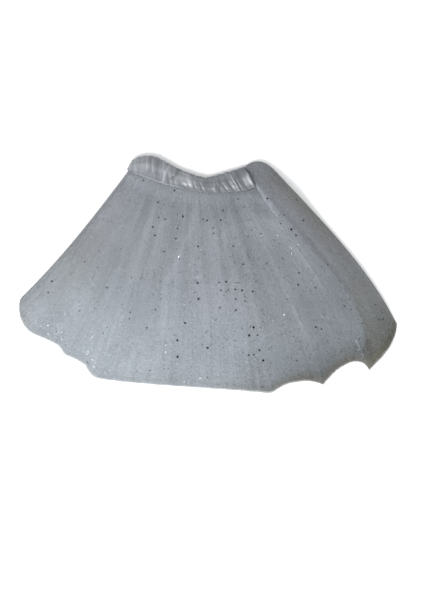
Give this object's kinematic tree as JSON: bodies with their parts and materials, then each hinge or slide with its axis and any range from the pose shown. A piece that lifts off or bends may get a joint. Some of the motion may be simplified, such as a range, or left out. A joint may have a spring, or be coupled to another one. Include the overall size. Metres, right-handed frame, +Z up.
{
  "type": "child's tutu laid flat",
  "caption": "Child's tutu laid flat: a gathered satin waistband over fanned layers of glittery net, folded at the sides and uneven at the hem.",
  "frame": {"origin": "on the table under the middle of the laid-out tutu's box", "axes": "+X across the skirt to the viewer's right, +Y from the hem towards the waist, +Z up from the table"},
  "size_m": [0.5306, 0.3338, 0.0199],
  "materials": {
    "satin": "glossy pale grey satin, gathered",
    "glitter_net": "sheer silver grey tulle with small sequins",
    "plain_net": "sheer silver grey tulle"
  },
  "bodies": {
    "root": {"waistband": "satin", "outer_net": "glitter_net", "middle_net": "plain_net", "inner_net": "plain_net"}
  },
  "joints": []
}
